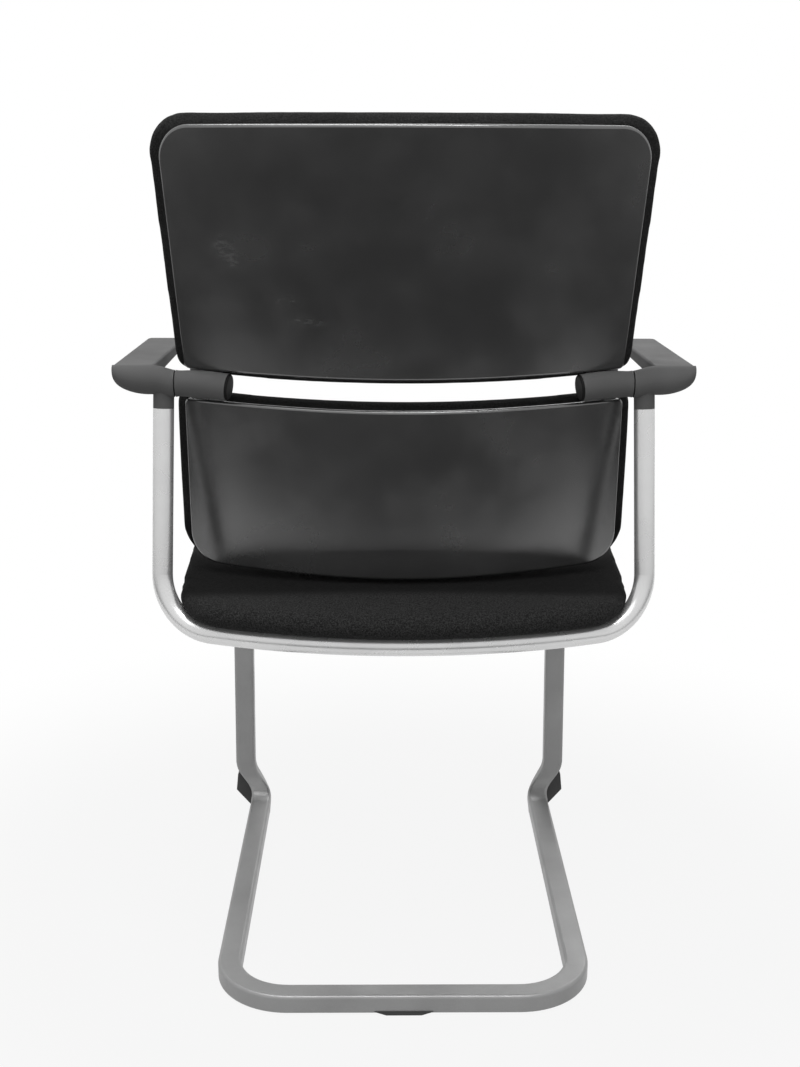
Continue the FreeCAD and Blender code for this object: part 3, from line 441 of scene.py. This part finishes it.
def cushion(node, name, body, resting, side):
    """Stuffed piece for a CAD pad. resting(normals) says which points lie on something,
    side how much fuller it is at its left and right edges."""
    solid = frame["nodes"][node].data
    tree = tree_of(solid)
    piece = bpy.data.objects.new(name, solid.copy())
    bpy.context.scene.collection.objects.link(piece)
    remesh = piece.modifiers.new("remesh", "REMESH")
    remesh.mode = "VOXEL"
    remesh.voxel_size = VOXEL
    applied(piece)
    mesh = piece.data
    skin = on_surface(points_of(mesh), tree)
    set_points(mesh, skin)
    normals = normals_of(mesh)
    lying = resting(normals)
    swell(piece, lying)
    mesh = piece.data
    rise = np.maximum(((points_of(mesh) - skin) * normals).sum(axis=1), 0)
    fuller = side * np.abs(normals[:, 0])
    rise += np.where(lying, 0, STUFFED + fuller)
    rise = evened(mesh, rise) * (1 - RIPPLE) + rise * RIPPLE
    room = np.where(lying, REST_GAP, CROWN_GAP + fuller)
    set_points(mesh, held_in(skin + normals * rise[:, None], tree, room))
    mesh.materials.clear()
    mesh.materials.append(FINISHES["cushion_fabric"])
    subdivision = piece.modifiers.new("subdivision", "SUBSURF")
    subdivision.levels = subdivision.render_levels = 1
    applied(piece)
    for polygon in piece.data.polygons:
        polygon.use_smooth = True
    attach(piece, body)
    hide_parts(node)


def cushions():
    def on_board(normals):
        return normals[:, 1] > LYING

    def on_pan(normals):
        return normals[:, 2] < -LYING

    cushion("upper_back_pad", "upper_back_cushion", "backrest", on_board, UPPER_SIDE)
    cushion("lower_back_pad", "lower_back_cushion", "backrest", on_board, LOWER_SIDE)
    cushion("seat_cushion", "seat_cushion_cover", "frame", on_pan, 0)


# Stage
FLOOR_FRONT_X, FLOOR_REAR_X = 2.6, 1.12
FLOOR_FRONT_Y, FLOOR_REAR_Y = -2.6, 0.9
FLOOR_WHITE = 0.28     # what the floor gives back to the object
FLOOR_GLOW = 0.9       # share of plain white that the camera sees at the chair
GLOW_NEAR, GLOW_FAR = 0.4, 1.0        # distance at which that starts to rise, and is all white
LIGHT_LOW, LIGHT_HIGH = 0.55, 0.28    # world light from the horizon and from above
GLOSS_LOW, GLOSS_HIGH = 0.04, 0.95    # what gloss shows far below and above the horizon
GLOSS_FROM, GLOSS_TO = -0.34, -0.05   # height on the world's sphere between the two
# Softboxes: name, place, target, width and depth, watts
LAMPS = [
    ("key", (0.15, 0.45, 2.7), (0, 0.3, 0.4), (2.4, 0.4), 34),
    ("rear", (0.4, 1.5, 2.3), (0, 0.1, 0.5), (1.6, 1.0), 7),
    ("fill", (-0.6, -1.8, 2.1), (0, 0, 0.5), (1.4, 1.2), 12),
]


def floor():
    mesh = bpy.data.meshes.new("floor")
    corners = [(-FLOOR_FRONT_X, FLOOR_FRONT_Y, 0), (FLOOR_FRONT_X, FLOOR_FRONT_Y, 0),
               (FLOOR_REAR_X, FLOOR_REAR_Y, 0), (-FLOOR_REAR_X, FLOOR_REAR_Y, 0)]
    mesh.from_pydata(corners, [], [(0, 1, 2, 3)])
    piece = bpy.data.objects.new("floor", mesh)
    bpy.context.scene.collection.objects.link(piece)
    material = bpy.data.materials.new("floor_white")
    material.use_nodes = True
    tree = material.node_tree
    tree.nodes.clear()
    output = tree.nodes.new("ShaderNodeOutputMaterial")
    path = tree.nodes.new("ShaderNodeLightPath")
    diffuse = tree.nodes.new("ShaderNodeBsdfDiffuse")
    diffuse.inputs["Color"].default_value = (*grey(FLOOR_WHITE), 1)
    glow = tree.nodes.new("ShaderNodeEmission")
    glow.inputs["Color"].default_value = (1, 1, 1, 1)
    seen = either(tree, path.outputs["Is Camera Ray"], path.outputs["Is Glossy Ray"])
    seen = either(tree, seen, path.outputs["Is Transmission Ray"])
    place = tree.nodes.new("ShaderNodeTexCoord")
    length = tree.nodes.new("ShaderNodeVectorMath")
    length.operation = "LENGTH"
    tree.links.new(place.outputs["Object"], length.inputs[0])
    level = ranged(tree, length.outputs["Value"], GLOW_NEAR, GLOW_FAR, FLOOR_GLOW, 1.0)
    share = tree.nodes.new("ShaderNodeMath")
    share.operation = "MULTIPLY"
    tree.links.new(seen, share.inputs[0])
    tree.links.new(level, share.inputs[1])
    surface = blended(tree, share.outputs[0], diffuse.outputs[0], glow.outputs[0])
    tree.links.new(surface, output.inputs["Surface"])
    mesh.materials.append(material)


def world():
    """Even studio light. Seen by the camera it is white, in gloss it is white above the floor."""
    scene = bpy.context.scene
    scene.world = bpy.data.worlds.new("studio")
    scene.world.use_nodes = True
    tree = scene.world.node_tree
    tree.nodes.clear()
    output = tree.nodes.new("ShaderNodeOutputWorld")
    path = tree.nodes.new("ShaderNodeLightPath")
    light, sheen, white = (tree.nodes.new("ShaderNodeBackground") for _ in range(3))
    for background in (light, sheen, white):
        background.inputs["Color"].default_value = (1, 1, 1, 1)
    place = tree.nodes.new("ShaderNodeTexCoord")
    split = tree.nodes.new("ShaderNodeSeparateXYZ")
    tree.links.new(place.outputs["Generated"], split.inputs[0])
    height = split.outputs["Z"]
    tree.links.new(ranged(tree, height, 0.0, 1.0, LIGHT_LOW, LIGHT_HIGH), light.inputs["Strength"])
    tree.links.new(ranged(tree, height, GLOSS_FROM, GLOSS_TO, GLOSS_LOW, GLOSS_HIGH),
                   sheen.inputs["Strength"])
    gloss = blended(tree, path.outputs["Is Glossy Ray"], light.outputs[0], sheen.outputs[0])
    seen = either(tree, path.outputs["Is Camera Ray"], path.outputs["Is Transmission Ray"])
    tree.links.new(blended(tree, seen, gloss, white.outputs[0]), output.inputs["Surface"])


def softbox(name, place, target, size, watts):
    light = bpy.data.lights.new(name, "AREA")
    light.shape = "RECTANGLE"
    light.size, light.size_y = size
    light.energy = watts
    lamp = bpy.data.objects.new(name, light)
    bpy.context.scene.collection.objects.link(lamp)
    lamp.location = place
    lamp.rotation_mode = "QUATERNION"
    lamp.rotation_quaternion = (Vector(target) - Vector(place)).to_track_quat("-Z", "Y")


def lights():
    for lamp in LAMPS:
        softbox(*lamp)


def camera():
    yaw, pitch, roll = (math.radians(a) for a in (CAMERA_YAW, CAMERA_PITCH, CAMERA_ROLL))
    level = Vector((math.sin(yaw), -math.cos(yaw), 0))
    ahead = level * math.cos(pitch) - Vector((0, 0, math.sin(pitch)))
    right = ahead.cross(Vector((0, 0, 1))).normalized()
    up = right.cross(ahead)
    side = right * math.cos(roll) + up * math.sin(roll)
    top = up * math.cos(roll) - right * math.sin(roll)
    data = bpy.data.cameras.new("camera")
    data.sensor_width = SENSOR_MM
    data.lens = SENSOR_MM * FOCAL_PX / max(PHOTO_W, PHOTO_H)
    data.clip_start, data.clip_end = 0.05, 50
    lens = bpy.data.objects.new("camera", data)
    bpy.context.scene.collection.objects.link(lens)
    turn = Matrix((side, top, -ahead)).transposed()
    lens.matrix_world = Matrix.Translation(CAMERA_AT) @ turn.to_4x4()
    bpy.context.scene.camera = lens


finish_nodes()
cushions()
floor()
world()
lights()
camera()
bpy.context.scene.view_settings.view_transform = "Standard"
